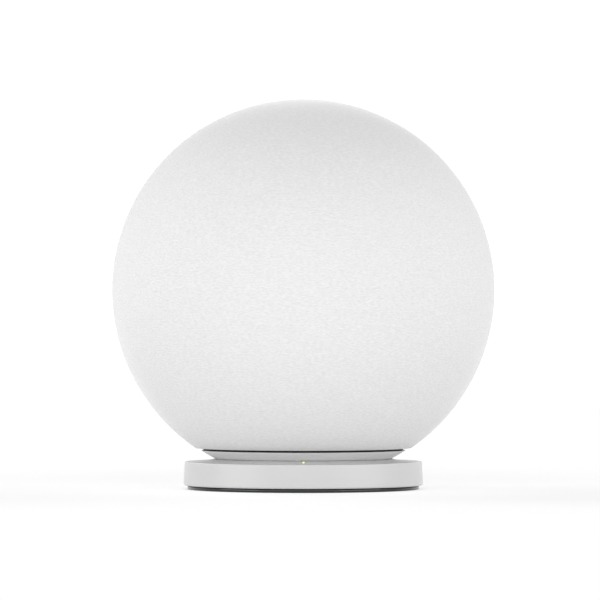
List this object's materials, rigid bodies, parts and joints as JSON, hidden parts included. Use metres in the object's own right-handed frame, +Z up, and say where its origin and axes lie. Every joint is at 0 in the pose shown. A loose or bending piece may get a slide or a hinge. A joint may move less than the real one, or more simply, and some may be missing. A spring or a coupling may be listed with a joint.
{
  "type": "smart speaker",
  "caption": "Fabric-covered spherical wireless smart speaker that lifts off a round, low charging dock with a shallow dish.",
  "frame": {"origin": "on the table under the middle of the dock", "axes": "+Z up through the dock and the orb; -Y towards the front, where the dock's indicator light is; +Y towards the power inlet"},
  "size_m": [0.145, 0.145, 0.148],
  "materials": {
    "cover_fabric": "fine pebbled knit, matt, off-white",
    "dock_plastic": "satin white moulded plastic",
    "cap_plastic": "satin pale grey-white moulded plastic",
    "grey_plastic": "mid-grey moulded plastic",
    "black_plastic": "black moulded plastic",
    "black_rubber": "soft black silicone rubber",
    "circuit_board": "green solder mask on glass epoxy",
    "plated_steel": "zinc plated steel",
    "gold_contact": "gold-plated brass",
    "nickel_magnet": "nickel-plated magnet",
    "copper_coil": "enamelled copper winding",
    "led_lens": "clear light pipe lit yellow-green",
    "cell_wrap": "shrink-wrapped steel cell",
    "driver_paper": "black coated paper",
    "spider_cloth": "resin-treated corrugated cloth",
    "wire_jacket": "silicone-jacketed lead",
    "ribbon_film": "polyimide flat cable",
    "grey_silicone": "soft grey silicone rubber",
    "heat_sink_alloy": "bare extruded aluminium"
  },
  "bodies": {
    "dock": {"dock_shell": "dock_plastic", "dish_pad": "grey_silicone", "dock_bottom_plate": "grey_plastic", "foot_ring": "black_rubber", "dock_screw_1": "plated_steel", "dock_screw_2": "plated_steel", "dock_screw_3": "plated_steel", "dock_weight": "plated_steel", "dock_board": "circuit_board", "usb_socket_shell": "plated_steel", "usb_socket_tongue": "black_plastic", "led_lens": "led_lens", "dock_magnet": "nickel_magnet", "pin_barrel_left": "gold_contact", "pin_barrel_right": "gold_contact", "pin_spring_left": "plated_steel", "pin_spring_right": "plated_steel"},
    "pin_left": {"pin_plunger_left": "gold_contact"},
    "pin_right": {"pin_plunger_right": "gold_contact"},
    "orb": {"fabric_cover": "cover_fabric", "upper_shell": "black_plastic", "lower_shell": "black_plastic", "mid_frame": "black_plastic", "seam_ring": "black_rubber", "bottom_cap": "cap_plastic", "contact_pad_left": "gold_contact", "contact_pad_right": "gold_contact", "orb_magnet": "nickel_magnet", "charge_board": "circuit_board", "button_switch": "black_plastic", "orb_screw_1": "plated_steel", "orb_screw_2": "plated_steel", "orb_screw_3": "plated_steel", "battery_cell_front": "cell_wrap", "battery_cell_back": "cell_wrap", "battery_tray": "black_plastic", "main_board": "circuit_board", "shield_can": "plated_steel", "heat_sink": "heat_sink_alloy", "enclosure_tub": "grey_plastic", "enclosure_lid": "grey_plastic", "driver_basket": "black_plastic", "motor_cup": "plated_steel", "motor_magnet": "nickel_magnet", "pole_plate": "plated_steel", "driver_surround": "black_rubber", "driver_spider": "spider_cloth", "radiator_surround_left": "black_rubber", "radiator_surround_right": "black_rubber", "sound_diffuser": "black_plastic", "microphone_board": "circuit_board", "microphone_ribbon": "ribbon_film", "speaker_lead": "wire_jacket", "battery_lead": "wire_jacket"},
    "button": {"power_button": "grey_plastic"},
    "driver_diaphragm": {"voice_coil": "copper_coil", "driver_cone": "driver_paper", "dust_cap": "driver_paper"},
    "radiator_left": {"radiator_plate_left": "plated_steel"},
    "radiator_right": {"radiator_plate_right": "plated_steel"}
  },
  "joints": [
    {"name": "orb_lift", "type": "slide", "parent": "dock", "child": "orb", "axis": [0, 0, 1], "range_m": [0, 0.06]},
    {"name": "pin_left_travel", "type": "slide", "parent": "dock", "child": "pin_left", "axis": [0, 0, 1], "range_m": [-0.0008, 0], "stiffness_N_per_m": 300, "springref_m": 0.0012, "deforming": ["pin_spring_left"]},
    {"name": "pin_right_travel", "type": "slide", "parent": "dock", "child": "pin_right", "axis": [0, 0, 1], "range_m": [-0.0008, 0], "stiffness_N_per_m": 300, "springref_m": 0.0012, "deforming": ["pin_spring_right"]},
    {"name": "button_press", "type": "slide", "parent": "orb", "child": "button", "axis": [0, 0, 1], "range_m": [0, 0.0005], "stiffness_N_per_m": 1500, "springref_m": -0.0004},
    {"name": "driver_stroke", "type": "slide", "parent": "orb", "child": "driver_diaphragm", "axis": [0, 0, 1], "range_m": [-0.0025, 0.0025], "stiffness_N_per_m": 1500, "deforming": ["driver_surround", "driver_spider"]},
    {"name": "radiator_left_stroke", "type": "slide", "parent": "orb", "child": "radiator_left", "axis": [-1, 0, 0], "range_m": [-0.0025, 0.0025], "stiffness_N_per_m": 1500, "deforming": ["radiator_surround_left"]},
    {"name": "radiator_right_stroke", "type": "slide", "parent": "orb", "child": "radiator_right", "axis": [1, 0, 0], "range_m": [-0.0025, 0.0025], "stiffness_N_per_m": 1500, "deforming": ["radiator_surround_right"]}
  ]
}
